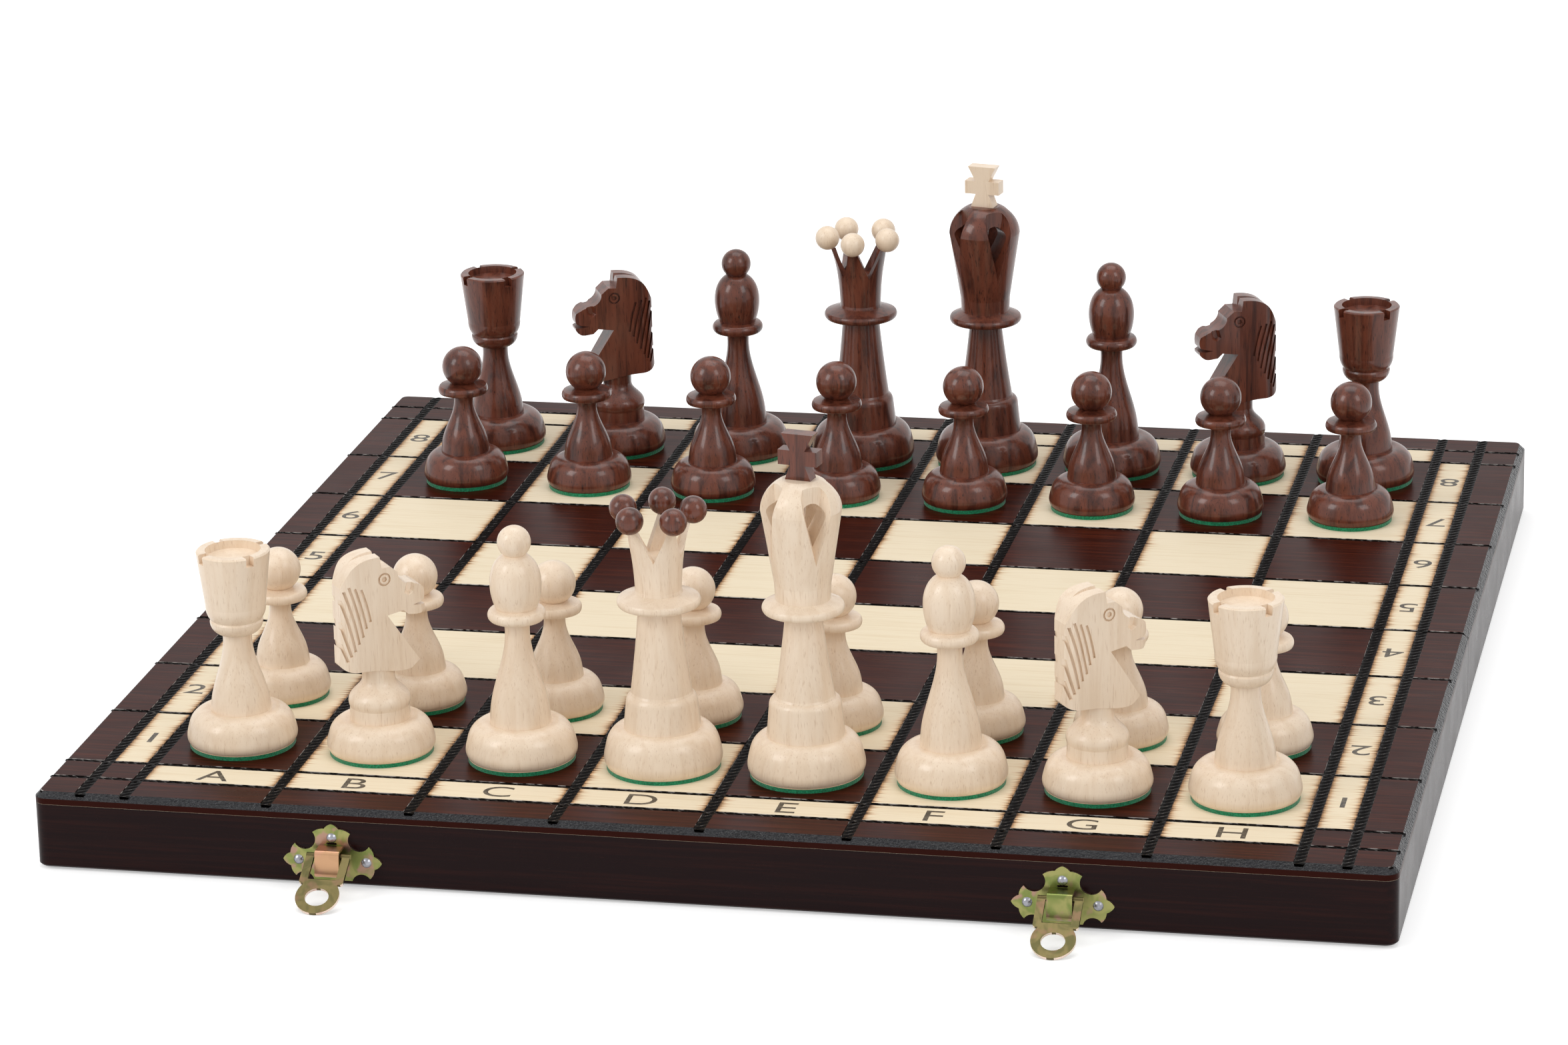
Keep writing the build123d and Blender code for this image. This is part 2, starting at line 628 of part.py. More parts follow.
def bishop():
    seat_z = BISHOP_COLLAR_Z + BISHOP_COLLAR_H
    head_top = seat_z + BISHOP_HEAD_H
    seat = 0.66 * BISHOP_BALL_R
    ball_z = head_top + sqrt(BISHOP_BALL_R**2 - seat**2)
    wood = turn(
        *dome(BISHOP_BASE_R, BISHOP_BASE_H, BISHOP_STEM_R),
        *bell(BISHOP_STEM_R, BISHOP_BASE_H, BISHOP_NECK_R, BISHOP_COLLAR_Z, 0.27),
        [(BISHOP_NECK_R, BISHOP_COLLAR_Z), (BISHOP_COLLAR_R - 0.7, BISHOP_COLLAR_Z + 0.2)],
        [
            (BISHOP_COLLAR_R - 0.7, BISHOP_COLLAR_Z + 0.2),
            (BISHOP_COLLAR_R, BISHOP_COLLAR_Z + 0.5 * BISHOP_COLLAR_H),
            (BISHOP_COLLAR_R - 0.7, seat_z - 0.5),
        ],
        [(BISHOP_COLLAR_R - 0.7, seat_z - 0.5), (BISHOP_HEAD_R - 1.3, seat_z)],
        [
            (BISHOP_HEAD_R - 1.3, seat_z),
            (BISHOP_HEAD_R, seat_z + 0.47 * BISHOP_HEAD_H),
            (BISHOP_HEAD_R - 1.6, seat_z + 0.86 * BISHOP_HEAD_H),
            (seat, head_top),
        ],
        [(seat, head_top), (BISHOP_BALL_R, ball_z), (0, ball_z + BISHOP_BALL_R)],
    )
    return [wood, felt(BISHOP_BASE_R)]


# The knight's head from its right side, in hundredths of the head's height: forwards from the
# axis, up from the neck.  Two points make a line, more a curve.
KNIGHT_PROFILE = [
    [(-33.5, 17), (-31, 14), (-14.5, 10.8), (5.5, 8), (17.5, 6.7), (23, 7.3)],  # lower edge
    [(23, 7.3), (30, 12.8)],
    [(30, 12.8), (4.4, 52.6)],  # front of the neck
    [(4.4, 52.6), (18, 54.4)],
    [(18, 54.4), (22.4, 50.3)],
    [(22.4, 50.3), (28, 49.6), (33.7, 50.1), (36.8, 53), (37.2, 55.5)],  # lower lip
    [(37.2, 55.5), (26.2, 57.2)],  # mouth
    [(26.2, 57.2), (36.6, 59.2)],
    [(36.6, 59.2), (37.4, 62.8), (36.6, 68.6)],
    [(36.6, 68.6), (33.4, 71.5), (29.7, 73.5), (26.2, 74.4)],  # nose
    [(26.2, 74.4), (21.5, 75.6), (17.7, 77.9), (15, 81.7), (14.5, 85.5)],
    [(14.5, 85.5), (8.1, 91)],  # forehead
    [(8.1, 91), (1.2, 90.7)],
    [(1.2, 90.7), (0, 100)],  # ears
    [(0, 100), (-7, 99.7), (-15, 98), (-22, 94), (-27, 87), (-31, 78)],  # crest
    [(-31, 78), (-31.6, 60), (-31.7, 43), (-32.5, 25), (-33.5, 17)],
]
MANE = [  # each groove is an arc from the crest forwards and down
    [(-16, 76.5), (-11.8, 62), (-9.5, 50)],
    [(-21, 78), (-16, 60), (-13, 45)],
    [(-25.5, 79.5), (-19.8, 58), (-15.8, 38.5)],
    [(-29, 76), (-23.5, 55), (-19.3, 33.5)],
    [(-31.5, 69), (-26.5, 49), (-22.5, 28)],
    [(-31.7, 51), (-28.8, 37), (-25.5, 24)],
    [(-32, 34), (-30.2, 27), (-28, 20)],
]
EYE = (3.2, 81.7)
CHEEK_CUT = [(22.7, 83), (18.3, 68), (22.7, 64.2), (27.9, 66.9), (30.2, 76)]
CREST_FRONT = (3, 91.5)  # the cleft between the ears starts here
CREST_BACK = (-24, 96)  # and runs out here


def knight():
    """Turned foot and carved head; the head grows with the height above the neck."""
    foot = turn(
        *dome(KNIGHT_BASE_R, KNIGHT_BASE_H, KNIGHT_STEM_R),
        [(KNIGHT_STEM_R, KNIGHT_BASE_H), (KNIGHT_STEM_R - 0.2, KNIGHT_BASE_H + 3.4)],
        [
            (KNIGHT_STEM_R - 0.2, KNIGHT_BASE_H + 3.4),
            (KNIGHT_STEM_R - 1.4, KNIGHT_NECK_Z - 3.0),
            (KNIGHT_NECK_R + 0.3, KNIGHT_NECK_Z - 0.7),
            (KNIGHT_NECK_R, KNIGHT_NECK_Z + 0.6),
        ],
        [(KNIGHT_NECK_R, KNIGHT_NECK_Z + 0.6), (KNIGHT_NECK_R, KNIGHT_NECK_Z + 5.0)],
    )
    unit = (KNIGHT_H - KNIGHT_NECK_Z) / 100

    def at(point):
        return point[0] * unit, KNIGHT_NECK_Z + point[1] * unit

    wide, slim = KNIGHT_HEAD_T / 2, KNIGHT_MUZZLE_T / 2
    tip = slim - KNIGHT_MUZZLE_BEVEL
    back, brow, lip, front = -33.9 * unit + wide, 3 * unit, 33 * unit, 38 * unit
    with BuildSketch() as plan:
        with BuildLine():
            Polyline((back, wide), (brow, wide), (lip, slim), (front, tip), (front, -tip))
            Polyline((front, -tip), (lip, -slim), (brow, -wide), (back, -wide))
            ThreePointArc((back, -wide), (back - wide, 0), (back, wide))
        make_face()

    with BuildPart() as carving:  # mane and eyes, left standing over a core
        with BuildSketch(Plane.XZ):
            for groove in MANE:
                with BuildLine():
                    ThreePointArc(*[at(point) for point in groove])
                trace(line_width=2.1 * unit)
            with Locations(at(EYE)):
                Circle(5.2 * unit)
                Circle(3.7 * unit, mode=Mode.SUBTRACT)
                Circle(2.1 * unit)
        extrude(amount=KNIGHT_HEAD_T, both=True)
        with BuildSketch():
            offset(plan.sketch, amount=-KNIGHT_CARVING)
        extrude(amount=KNIGHT_H, mode=Mode.SUBTRACT)

    with BuildPart() as head:
        with BuildSketch(Plane.XZ):
            with BuildLine():
                for stretch in KNIGHT_PROFILE:
                    points = [at(point) for point in stretch]
                    if len(points) == 2:
                        Line(*points)
                    else:
                        Spline(*points)
            make_face()
        extrude(amount=KNIGHT_HEAD_T, both=True)
        with BuildSketch():
            add(plan.sketch)
        extrude(amount=KNIGHT_H + 1, mode=Mode.INTERSECT)
        add(carving.part, mode=Mode.SUBTRACT)
        for way in (1, -1):
            with BuildSketch(Plane.XZ.offset(way * wide)):
                with BuildLine():
                    Polyline(*[at(point) for point in CHEEK_CUT], close=True)
                make_face()
            extrude(amount=-way * KNIGHT_CHEEK_CUT, taper=30, mode=Mode.SUBTRACT)
        front_x, front_z = at(CREST_FRONT)
        back_x, back_z = at(CREST_BACK)
        run = Vector(front_x - back_x, 0, front_z - back_z)
        with BuildSketch(Plane((back_x, 0, back_z), x_dir=(0, 1, 0), z_dir=run.normalized())):
            Polygon((0, 0), (8 * unit, 20 * unit), (-8 * unit, 20 * unit), align=None)
        extrude(amount=run.length, mode=Mode.SUBTRACT)
        add(foot)
    return [head.part, felt(KNIGHT_BASE_R)]


def queen():
    seat_z = QUEEN_COLLAR_Z + QUEEN_COLLAR_H
    body = turn(
        *dome(QUEEN_BASE_R, QUEEN_BASE_H, QUEEN_DRUM_R),
        *tier(QUEEN_BASE_H, QUEEN_DRUM_R, QUEEN_DRUM_Z, QUEEN_STEM_R, QUEEN_NECK_R, QUEEN_COLLAR_Z),
        *collar(QUEEN_NECK_R, QUEEN_COLLAR_R, QUEEN_COLLAR_Z, QUEEN_COLLAR_H, QUEEN_CORONET_R + 0.1),
        [(QUEEN_CORONET_R + 0.1, seat_z), (QUEEN_CORONET_R - 0.1, seat_z + 0.8)],
        [
            (QUEEN_CORONET_R - 0.1, seat_z + 0.8),
            (QUEEN_CORONET_R + 0.15, seat_z + 5.4),
            (QUEEN_CORONET_R + 0.95, QUEEN_NOTCH_Z + 2.6),
            (QUEEN_RIM_R, QUEEN_RIM_Z),
        ],
        [(QUEEN_RIM_R, QUEEN_RIM_Z), (QUEEN_RIM_R - QUEEN_RIM, QUEEN_RIM_Z)],
        [(QUEEN_RIM_R - QUEEN_RIM, QUEEN_RIM_Z), (QUEEN_CORONET_R - QUEEN_RIM, QUEEN_NOTCH_Z)],
        [(QUEEN_CORONET_R - QUEEN_RIM, QUEEN_NOTCH_Z), (0, QUEEN_NOTCH_Z)],
    )
    step = 360 / QUEEN_POINTS
    first = QUEEN_TURN
    top = QUEEN_RIM_Z + 1
    spread = QUEEN_RIM_R * sin(radians(step / 2)) * 0.92
    with BuildPart() as cut:
        add(body)
        for i in range(QUEEN_POINTS):
            way = radians(first + step * (i + 0.5))
            with BuildSketch(Plane((0, 0, 0), x_dir=(0, 0, 1), z_dir=(cos(way), sin(way), 0))):
                Polygon((QUEEN_NOTCH_Z, 0), (top, spread), (top, -spread), align=None)
            extrude(amount=QUEEN_RIM_R + 1, mode=Mode.SUBTRACT)
        with PolarLocations(QUEEN_BALL_RING_R, QUEEN_POINTS, start_angle=first):
            with Locations((0, 0, QUEEN_BALL_Z)):
                Sphere(QUEEN_BALL_R, mode=Mode.SUBTRACT)
    with BuildPart() as balls:
        with PolarLocations(QUEEN_BALL_RING_R, QUEEN_POINTS, start_angle=first):
            with Locations((0, 0, QUEEN_BALL_Z)):
                Sphere(QUEEN_BALL_R)
    return [cut.part, felt(QUEEN_BASE_R), *balls.part.solids()]


def king():
    seat_z = KING_COLLAR_Z + KING_COLLAR_H
    crown = turn(
        [(KING_CROWN_FOOT_R, seat_z + 0.6), (KING_CROWN_FOOT_R + 0.15, seat_z + 4.0)],
        [
            (KING_CROWN_FOOT_R + 0.15, seat_z + 4.0),
            (KING_CROWN_R - 2.0, KING_FLUTE_FOOT + 2.0),
            (KING_CROWN_R, KING_CROWN_TOP_Z - 8.0),
        ],
        [
            (KING_CROWN_R, KING_CROWN_TOP_Z - 8.0),
            (KING_CROWN_R - 0.8, KING_CROWN_TOP_Z - 4.8),
            (KING_CROWN_R - 2.8, KING_CROWN_TOP_Z - 2.0),
            (KING_CROWN_R - 5.8, KING_CROWN_TOP_Z),
        ],
    )
    with BuildPart() as carved:
        add(crown)
        # teardrop windows meet in the middle and leave the ribs standing
        for i in range(KING_RIBS // 2):
            with BuildSketch(crown_side(i)):
                add(teardrop(KING_WINDOW_R, KING_WINDOW_TOP, KING_WINDOW_FOOT))
            extrude(amount=KING_CROWN_R + 1, both=True, mode=Mode.SUBTRACT)
        # and each lies in a flute that runs from the top of the crown to a point below
        for i in range(KING_RIBS):
            face = crown_side(i)
            with BuildSketch(face.offset(KING_CROWN_R + 1)):
                add(teardrop(KING_WINDOW_R + 2.5, KING_CROWN_TOP_Z + 1.8, KING_FLUTE_FOOT - 6.0))
            with BuildSketch(face.offset(KING_FLUTE_IN)):
                add(teardrop(KING_WINDOW_R - 0.1, KING_CROWN_TOP_Z + 0.3, KING_WINDOW_FOOT + 0.4))
            loft(mode=Mode.SUBTRACT)
    with BuildPart() as wood:
        add(
            turn(
                *dome(KING_BASE_R, KING_BASE_H, KING_DRUM_R),
                *tier(KING_BASE_H, KING_DRUM_R, KING_DRUM_Z, KING_STEM_R, KING_NECK_R, KING_COLLAR_Z),
                *collar(KING_NECK_R, KING_COLLAR_R, KING_COLLAR_Z, KING_COLLAR_H, KING_CROWN_FOOT_R),
                [(KING_CROWN_FOOT_R, seat_z), (KING_CROWN_FOOT_R, seat_z + 0.6)],
            )
        )
        add(carved.part)
    return [wood.part, felt(KING_BASE_R), cross()]


def crown_side(i):
    """Upright plane through the king's axis, its normal along the window at that place."""
    way = radians(KING_TURN + 360 / KING_RIBS * i)
    return Plane((0, 0, 0), x_dir=(-sin(way), cos(way), 0), z_dir=(cos(way), sin(way), 0))


def teardrop(radius, top, foot):
    """A round-topped opening that runs down to a point."""
    centre = top - radius
    lean = acos(radius / (centre - foot))
    side_x, side_z = radius * sin(lean), centre - radius * cos(lean)
    with BuildSketch() as drop:
        with BuildLine():
            ThreePointArc((side_x, side_z), (0, top), (-side_x, side_z))
            Polyline((-side_x, side_z), (0, foot), (side_x, side_z))
        make_face()
    return drop.sketch


def cross():
    foot_z = KING_CROWN_TOP_Z
    arm_low, arm_high = foot_z + 0.32 * KING_CROSS_H, foot_z + 0.64 * KING_CROSS_H
    top_z = foot_z + KING_CROSS_H
    foot, waist, arm, top = (w / 2 for w in (KING_CROSS_FOOT, KING_CROSS_T, KING_CROSS_ARM, KING_CROSS_TOP))
    edge = [
        (foot, foot_z), (waist, arm_low), (arm, arm_low), (arm, arm_high), (waist, arm_high), (top, top_z)
    ]
    with BuildPart() as finial:
        with BuildSketch(Plane.XZ):
            Polygon(*edge, *[(-x, z) for x, z in reversed(edge)], align=None)
        extrude(amount=KING_CROSS_T / 2, both=True)
    return finial.part.rotate(Axis.Z, KING_CROSS_TURN)


# ---------------------------------------------------------------- the men on the board
MAKERS = {"pawn": pawn, "rook": rook, "knight": knight, "bishop": bishop, "queen": queen, "king": king}
BACK_RANK = ["rook", "knight", "bishop", "queen", "king", "bishop", "knight", "rook"]
FILES = "abcdefgh"
MEN = {kind: Compound(children=make()) for kind, make in MAKERS.items()}


def square_centre(file, rank):
    """Middle of a square; both count from 0 at the a file and the first rank."""
    return LINES[file] + SQUARE / 2, LINES[rank] + SQUARE / 2


SPIN = {
    ("light", "knight"): LIGHT_KNIGHT_TURN,
    ("dark", "knight"): DARK_KNIGHT_TURN,
    ("dark", "queen"): DARK_QUEEN_TURN,
}


def stand(kind, colour, file, rank):
    """Put a man on a square.  Knights look along the ranks, the dark ones towards the a file."""
    x, y = square_centre(file, rank)
    spin = SPIN.get((colour, kind), 0)
    name = f"{colour}_{kind}" if kind in ("queen", "king") else f"{colour}_{kind}_{FILES[file]}"
    placed = [Pos(x, y, TOP) * Rot(0, 0, spin) * solid for solid in MEN[kind].solids()]
    save(Compound(children=placed), name)


for colour, back, front in (("light", 0, 1), ("dark", SQUARES - 1, SQUARES - 2)):
    for file, kind in enumerate(BACK_RANK):
        stand(kind, colour, file, back)
        stand("pawn", colour, file, front)
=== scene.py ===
"""Looks of the folding chess box and its men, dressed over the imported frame.

Metres, in the row frame: origin on the hinge axis in the plane of the rims, +X along the fold to the
h file, +Y across the fold to the eighth rank, +Z up out of the playing surface.
"""

import math

import bpy
import numpy as np
from mathutils import Matrix, Vector


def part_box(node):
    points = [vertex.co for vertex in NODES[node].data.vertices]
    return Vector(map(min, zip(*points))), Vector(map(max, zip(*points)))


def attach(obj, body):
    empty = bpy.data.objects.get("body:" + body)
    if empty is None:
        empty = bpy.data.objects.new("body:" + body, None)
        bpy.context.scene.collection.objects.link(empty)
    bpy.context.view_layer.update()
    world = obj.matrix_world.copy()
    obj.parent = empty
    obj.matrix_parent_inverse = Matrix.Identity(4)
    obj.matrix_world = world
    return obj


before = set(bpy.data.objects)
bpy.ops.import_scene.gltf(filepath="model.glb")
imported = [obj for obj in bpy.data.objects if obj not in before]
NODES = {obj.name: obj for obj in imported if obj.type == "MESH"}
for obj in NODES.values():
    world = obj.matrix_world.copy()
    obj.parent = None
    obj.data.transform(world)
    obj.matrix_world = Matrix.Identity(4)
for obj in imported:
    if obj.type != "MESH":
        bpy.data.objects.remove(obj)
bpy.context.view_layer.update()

MM = 0.001
SQUARE = 38.0 * MM
SQUARES = 8
STRIP = 12.0 * MM
FIELD = SQUARE * SQUARES / 2  # half width of the sixty-four squares
OUTER_LINE = FIELD + STRIP
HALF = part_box("far_board_panel")[1].y
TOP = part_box("far_board_panel")[1].z
PANEL_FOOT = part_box("far_board_panel")[0].z
WALL = 8.0 * MM
WALL_IN = HALF - WALL  # inner faces of the outer walls
HINGE_WALL_IN = WALL + 0.15 * MM  # inner faces of the hinge walls
TABLE = -0.8 * MM
BEVEL = 1.6 * MM
SKIN = 0.02  # mm, a face this near to a plane lies in it
GROOVE_HALF = 1.5  # mm from the middle of a file groove to its edge
STRAP_Y = -HALF / MM - 1.4  # mm, the plates' strap stands proud of this
CUT_FACE = 0.9 * MM**2  # a face of a plate's cut edge is smaller than this
CREST_DEPTH = 0.16  # mm from the squares down to the crests of the stamped cord

# ================================================================ node materials


def srgb(red, green, blue):
    """A colour written as on a screen, 0 to 255, as the linear colour that a shader takes."""
    def linear(level):
        share = level / 255
        return share / 12.92 if share <= 0.04045 else ((share + 0.055) / 1.055) ** 2.4
    return linear(red), linear(green), linear(blue)


class Value:
    """A number worked out inside a material: arithmetic on it becomes Math nodes."""

    def __init__(self, paint, socket):
        self.paint = paint
        self.socket = socket

    def __add__(self, other):
        return self.paint.math("ADD", self, other)

    def __radd__(self, other):
        return self.paint.math("ADD", other, self)

    def __sub__(self, other):
        return self.paint.math("SUBTRACT", self, other)

    def __rsub__(self, other):
        return self.paint.math("SUBTRACT", other, self)

    def __mul__(self, other):
        return self.paint.math("MULTIPLY", self, other)

    def __truediv__(self, other):
        return self.paint.math("DIVIDE", self, other)

    def __abs__(self):
        return self.paint.math("ABSOLUTE", self)

    def below(self, limit):
        return self.paint.math("LESS_THAN", self, limit)

    def above(self, limit):
        return self.paint.math("GREATER_THAN", self, limit)


class Paint:
    """One node material, built by short calls.  Values may be numbers or Values."""

    def __init__(self, name):
        self.material = bpy.data.materials.new(name)
        self.material.use_nodes = True
        self.tree = self.material.node_tree
        self.shader = self.tree.nodes["Principled BSDF"]
        place = self.add("ShaderNodeTexCoord").outputs["Object"]
        parts = self.add("ShaderNodeSeparateXYZ")
        self.feed(parts.inputs[0], place)
        self.x, self.y, self.z = (self.value(s) * (1 / MM) for s in parts.outputs)

    def value(self, socket):
        return Value(self, socket)

    def add(self, kind, **settings):
        node = self.tree.nodes.new(kind)
        for key, setting in settings.items():
            setattr(node, key, setting)
        return node

    def feed(self, socket, source):
        if isinstance(source, Value):
            source = source.socket
        if isinstance(source, bpy.types.NodeSocket):
            self.tree.links.new(source, socket)
        elif isinstance(source, tuple) and len(source) == 3 and socket.type == "RGBA":
            socket.default_value = (*source, 1)
        else:
            socket.default_value = source

    def math(self, operation, *sources):
        node = self.add("ShaderNodeMath", operation=operation)
        for socket, source in zip(node.inputs, sources):
            self.feed(socket, source)
        return self.value(node.outputs[0])

    def smooth(self, source, low, high):
        """0 below low, 1 above high and a soft step between; low may be above high."""
        node = self.add("ShaderNodeMapRange", interpolation_type="SMOOTHSTEP")
        for socket, number in zip(node.inputs, (source, low, high, 0, 1)):
            self.feed(socket, number)
        return self.value(node.outputs[0])

    def vector(self, x, y, z):
        node = self.add("ShaderNodeCombineXYZ")
        for socket, source in zip(node.inputs, (x, y, z)):
            self.feed(socket, source)
        return node.outputs[0]

    def noise(self, vector, detail=2, roughness=0.5, distortion=0.0):
        node = self.add("ShaderNodeTexNoise")
        self.feed(node.inputs["Vector"], vector)
        settings = (("Scale", 1), ("Detail", detail), ("Roughness", roughness), ("Distortion", distortion))
        for key, number in settings:
            node.inputs[key].default_value = number
        return self.value(node.outputs["Fac"])

    def chance(self, *sources):
        """One random number for each whole-number place."""
        node = self.add("ShaderNodeTexWhiteNoise", noise_dimensions="3D")
        self.feed(node.inputs["Vector"], self.vector(*sources))
        return self.value(node.outputs["Value"])

    def mix(self, share, first, second):
        node = self.add("ShaderNodeMix", data_type="RGBA")
        self.feed(node.inputs["Factor"], share)
        self.feed(node.inputs[6], first)
        self.feed(node.inputs[7], second)
        return node.outputs[2]

    def bump(self, height, strength, distance):
        node = self.add("ShaderNodeBump")
        node.inputs["Strength"].default_value = strength
        node.inputs["Distance"].default_value = distance
        self.feed(node.inputs["Height"], height)
        self.tree.links.new(node.outputs["Normal"], self.shader.inputs["Normal"])

    def finish(self, colour, roughness, **sockets):
        self.feed(self.shader.inputs["Base Color"], colour)
        self.feed(self.shader.inputs["Roughness"], roughness)
        for name, number in sockets.items():
            self.feed(self.shader.inputs[name.replace("_", " ")], number)
        return self.material


PALE_WOOD = srgb(240, 225, 197)
PALE_GRAIN = srgb(228, 208, 174)
STAIN = srgb(45, 12, 5)
STAIN_STREAK = srgb(74, 28, 14)
SCORCH = srgb(52, 24, 12)
SCORCH_EDGE = srgb(206, 152, 96)


def grain(paint, along, across, depth, length, width, seed=0.0):
    """Streaks that run along one direction; length and width are their size in mm."""
    place = paint.vector(along / length + seed, across / width, depth / width)
    return paint.noise(place, detail=4, roughness=0.6, distortion=0.3)


def board_wood():
    """Squares, label strips and border, with scorched groove edges."""
    paint = Paint("board_wood")
    x, y, z = paint.x, paint.y, paint.z
    far_x, far_y = abs(x), abs(y)
    side = SQUARE / MM
    field, outer = FIELD / MM, OUTER_LINE / MM
    file = paint.math("FLOOR", x / side)
    rank = paint.math("FLOOR", y / side)
    parity = paint.math("FRACT", (file + rank) / 2) * 2
    in_field = far_x.below(field) * far_y.below(field)
    near_strip = far_x.below(field) * far_y.above(field) * far_y.below(outer)
    side_strip = far_y.below(field) * far_x.above(field) * far_x.below(outer)
    pale = in_field * parity + near_strip + side_strip

    chance = paint.chance(file, rank, 0)
    streak = grain(paint, x, y, z, 26, 0.9, chance * 50)
    fibre = grain(paint, x, y, z, 7, 0.22)
    pale_tone = paint.mix(paint.smooth(streak, 0.45, 0.75) * 0.7, PALE_WOOD, PALE_GRAIN)
    pale_tone = paint.mix(paint.smooth(fibre, 0.62, 0.80) * 0.30, pale_tone, srgb(205, 176, 134))
    stain_tone = paint.mix(paint.smooth(streak, 0.40, 0.72), STAIN, STAIN_STREAK)
    stain_tone = paint.mix(paint.smooth(fibre, 0.58, 0.80) * 0.40, stain_tone, srgb(98, 56, 40))
    tone = paint.mix(pale, stain_tone, pale_tone)

    # scorch marks reach along the grain from the grooves that cross it
    to_line = paint.math("ABSOLUTE", x - paint.math("ROUND", x / side) * side)
    in_strip = paint.math("MINIMUM", far_x - field, outer - far_x)
    reach = far_x.below(field) * to_line + far_x.above(field) * in_strip
    tongue = paint.smooth(grain(paint, x, y, z, 60, 0.5, chance * 20), 0.36, 0.66)
    lick = GROOVE_HALF + 0.5 + tongue * tongue * 3.6
    scorched = paint.mix((1 - paint.smooth(reach, GROOVE_HALF + 0.2, lick + 0.8)) * 0.8, tone, SCORCH_EDGE)
    scorched = paint.mix(1 - paint.smooth(reach, GROOVE_HALF - 0.1, lick * 0.72 + 0.3), scorched, SCORCH)
    tone = paint.mix(pale, tone, scorched)

    edge = z.below(TOP / MM - 0.05)
    tone = paint.mix(edge, tone, STAIN)
    underside = z.below(PANEL_FOOT / MM + SKIN)
    tone = paint.mix(underside, tone, pale_tone)

    wear = paint.noise(paint.vector(x / 14, y / 14, z / 14), detail=3)
    paint.bump(streak * 0.5 + fibre * 0.5, 0.30, 0.05 * MM)
    return paint.finish(tone, 0.22 + wear * 0.16 + pale * 0.12, Specular_IOR_Level=0.05)


def wall_wood(name, along):
    """Stained walls, bare on the faces inside the compartments."""
    paint = Paint(name)
    x, y, z = paint.x, paint.y, paint.z
    run, across = (x, y) if along == "x" else (y, x)
    streak = grain(paint, run, z, across, 40, 1.1)
    fibre = grain(paint, run, z, across, 6, 0.25)
    tone = paint.mix(paint.smooth(streak, 0.42, 0.75), srgb(24, 7, 8), srgb(38, 14, 12))
    tone = paint.mix(paint.smooth(fibre, 0.60, 0.80) * 0.35, tone, srgb(60, 27, 22))
    bare = paint.mix(paint.smooth(streak, 0.4, 0.75), PALE_WOOD, PALE_GRAIN)
    inner = WALL_IN / MM + SKIN
    in_box = abs(x).below(inner) * abs(y).below(inner)
    inside = in_box * abs(y).above(HINGE_WALL_IN / MM - SKIN) * z.above(SKIN)
    tone = paint.mix(inside, tone, bare)
    paint.bump(streak * 0.5 + fibre, 0.25, 0.04 * MM)
    wear = paint.noise(paint.vector(x / 16, y / 16, z / 16), detail=3)
    return paint.finish(tone, 0.20 + wear * 0.16 + inside * 0.25, Specular_IOR_Level=0.10)


def burnt_groove():
    """Charred, lacquered grooves; the crests of the stamped cord carry painted highlights, pale patches that
    stand in for glints.
    """
    paint = Paint("burnt_groove")
    speck = paint.noise(paint.vector(paint.x / 0.35, paint.y / 0.35, paint.z / 0.35), detail=2)
    tone = paint.mix(speck, srgb(4, 3, 3), srgb(14, 10, 9))
    crest = paint.smooth(paint.z, TOP / MM - CREST_DEPTH - 0.03, TOP / MM - CREST_DEPTH + 0.01)
    glint_patches = paint.noise(paint.vector(paint.x / 2.2, paint.y / 2.2, paint.z / 2.2), detail=2)
    # painted highlight: pale patches on the cord's crests stand in for glints of the lamps
    tone = paint.mix(crest * paint.smooth(glint_patches, 0.42, 0.62), tone, srgb(170, 164, 160))
    paint.bump(speck, 0.2, 0.05 * MM)
    return paint.finish(tone, 0.22 + speck * 0.12, Specular_IOR_Level=0.03)


def burnt_bevel():
    """Black bevel round the playing surface, rolled with a fine hammered grain."""
    paint = Paint("burnt_bevel")
    x, y, z = paint.x, paint.y, paint.z
    hammer = paint.noise(paint.vector(x / 0.9, y / 0.9, z / 0.5), detail=2)
    drift = paint.noise(paint.vector(x / 12, y / 12, z / 12), detail=2)
    tone = paint.mix(drift, srgb(8, 8, 10), srgb(24, 24, 30))
    paint.bump(hammer, 1.0, 0.6 * MM)
    return paint.finish(tone, 0.14 + drift * 0.15, Specular_IOR_Level=0.3)


def man_wood(name, ground, vein, fleck, veined, roughness, gloss):
    """Turned wood with its grain upright and faint rings left by the lathe."""
    paint = Paint(name)
    x, y, z = paint.x, paint.y, paint.z
    streak = paint.noise(paint.vector(x / 2.6, y / 2.6, z / 34), detail=4, roughness=0.6, distortion=0.6)
    fibre = paint.noise(paint.vector(x / 0.35, y / 0.35, z / 4.5), detail=2)
    cloud = paint.noise(paint.vector(x / 16, y / 16, z / 16), detail=2)
    tone = paint.mix(paint.smooth(streak, 0.38, 0.72) * veined, ground, vein)
    tone = paint.mix(paint.smooth(fibre, 0.56, 0.76) * veined, tone, fleck)
    tone = paint.mix(paint.smooth(cloud, 0.45, 0.75) * 0.25, tone, vein)
    ring = paint.noise(paint.vector(0, 0, z / 0.5), detail=1)
    paint.bump(fibre * 0.6 + ring * 0.5, 0.18, 0.05 * MM)
    return paint.finish(
        tone, roughness + cloud * 0.08, Specular_IOR_Level=0.3, Coat_Weight=gloss, Coat_Roughness=0.10
    )


def felt_cloth():
    paint = Paint("green_felt")
    x, y, z = paint.x, paint.y, paint.z
    fuzz = paint.noise(paint.vector(x / 0.45, y / 0.45, z / 0.45), detail=4, roughness=0.7)
    tone = paint.mix(paint.smooth(fuzz, 0.35, 0.70), srgb(4, 106, 68), srgb(34, 160, 110))
    paint.bump(fuzz, 0.9, 0.35 * MM)
    return paint.finish(tone, 0.95, Sheen_Weight=0.4, Specular_IOR_Level=0.15)


